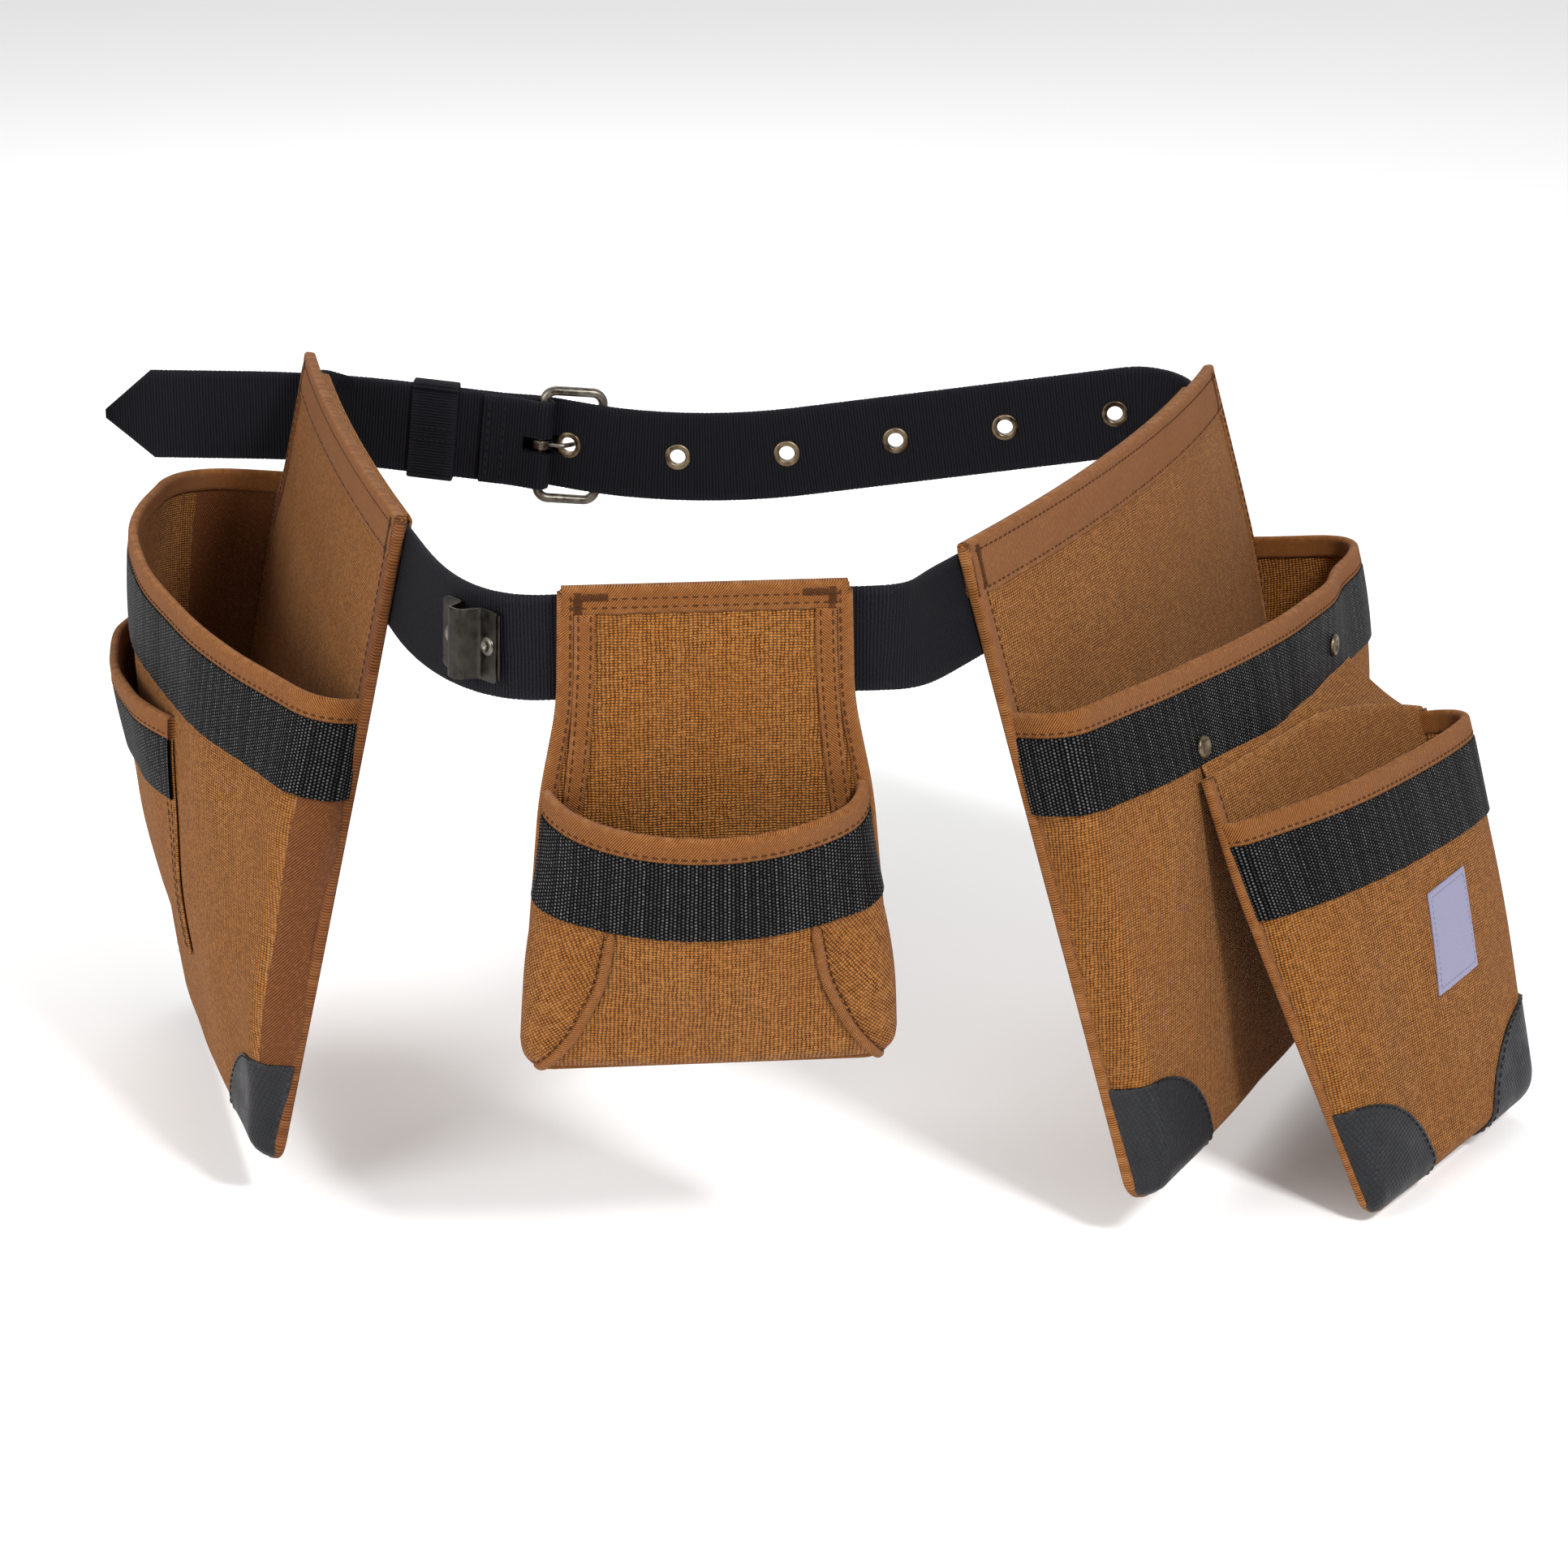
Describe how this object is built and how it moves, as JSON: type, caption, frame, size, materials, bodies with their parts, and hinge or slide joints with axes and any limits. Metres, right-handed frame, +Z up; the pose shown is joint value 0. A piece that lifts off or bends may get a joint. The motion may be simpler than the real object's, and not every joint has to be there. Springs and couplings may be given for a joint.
{
  "type": "tool belt",
  "caption": "Carpenter's tool belt: ribbed webbing belt with tongue buckle, keeper and tape clip, carrying open canvas pouches with bound rims and tough corner patches.",
  "frame": {"origin": "centre of the waist loop at the belt's mid-height, where the wearer's waist is", "axes": "+Z up; +Y towards the buckle at the open back of the belt; +X towards the double pouch"},
  "size_m": [0.5908, 0.3911, 0.2733],
  "materials": {
    "black_webbing": "coarse ribbed nylon webbing",
    "brown_duck": "coarse plain-weave duck, matt",
    "brown_binding": "fine twill tape, matt",
    "black_patch": "pebbled, soft sheen",
    "aged_nickel": "antique nickel, worn",
    "aged_brass": "antique brass, dull",
    "grey_label": "woven label, plain"
  },
  "bodies": {
    "belt": {"belt_webbing": "black_webbing", "eyelet_grommets": "aged_nickel", "eyelet_washers": "aged_nickel", "tape_clip": "aged_nickel", "clip_rivets": "aged_nickel"},
    "buckle_frame": {"buckle_frame": "aged_nickel"},
    "buckle_tongue": {"buckle_tongue": "aged_nickel"},
    "keeper": {"keeper_loop": "black_webbing"},
    "centre_pouch": {"centre_back_panel": "brown_duck", "centre_belt_sleeve": "black_webbing", "centre_front_panel": "brown_duck", "centre_gusset": "brown_duck", "centre_panel_binding": "brown_binding", "centre_rim_binding": "brown_binding", "centre_seam_piping": "brown_binding", "centre_webbing_band": "black_webbing"},
    "left_pouch": {"left_back_panel": "brown_duck", "left_belt_sleeve": "black_webbing", "left_corner_patches": "black_patch", "left_front_panel": "brown_duck", "left_gusset": "brown_binding", "left_panel_binding": "brown_binding", "left_rim_binding": "brown_binding", "left_slot_band": "black_webbing", "left_slot_binding": "brown_binding", "left_slot_pocket": "brown_duck", "left_webbing_band": "black_webbing"},
    "right_pouch": {"right_back_panel": "brown_duck", "right_belt_sleeve": "black_webbing", "right_corner_patches": "black_patch", "right_front_panel": "brown_duck", "right_gusset": "brown_binding", "right_panel_binding": "brown_binding", "right_rim_binding": "brown_binding", "right_webbing_band": "black_webbing", "band_rivets": "aged_brass"},
    "outer_pouch": {"outer_back_panel": "brown_duck", "outer_corner_patches": "black_patch", "outer_front_panel": "brown_duck", "outer_gusset": "brown_binding", "outer_label": "grey_label", "outer_rim_binding": "brown_binding", "outer_webbing_band": "black_webbing"}
  },
  "joints": [
    {"name": "buckle_frame_swing", "type": "hinge", "parent": "belt", "child": "buckle_frame", "pos_m": [-0.09136, 0.18809, -0.01545], "axis": [0.1044, -0.0057, 0.9945], "range_deg": [0, 2.5]},
    {"name": "buckle_tongue_lift", "type": "hinge", "parent": "buckle_frame", "child": "buckle_tongue", "pos_m": [-0.09136, 0.18809, -0.01545], "axis": [0.1044, -0.0057, 0.9945], "range_deg": [0, 3.5]},
    {"name": "keeper_slide", "type": "slide", "parent": "belt", "child": "keeper", "axis": [-0.993, 0.0546, 0.1045], "range_m": [-0.008, 0.022]},
    {"name": "centre_pouch_slide", "type": "slide", "parent": "belt", "child": "centre_pouch", "axis": [0.9957, 0.0924, 0], "range_m": [-0.008, 0.008]},
    {"name": "left_pouch_slide", "type": "hinge", "parent": "belt", "child": "left_pouch", "pos_m": [1.73714, 0.53233, -0.41532], "axis": [0.202, 0.0492, 0.9781], "range_deg": [0, 0.28]},
    {"name": "right_pouch_slide", "type": "hinge", "parent": "belt", "child": "right_pouch", "pos_m": [-0.56677, 0.35001, -0.19204], "axis": [0.2215, -0.0972, -0.9703], "range_deg": [0, 1]},
    {"name": "outer_pouch_swing", "type": "hinge", "parent": "right_pouch", "child": "outer_pouch", "pos_m": [0.21466, 0.02326, -0.07962], "axis": [-0.5592, -0.829, 0], "range_deg": [0, 45]}
  ]
}
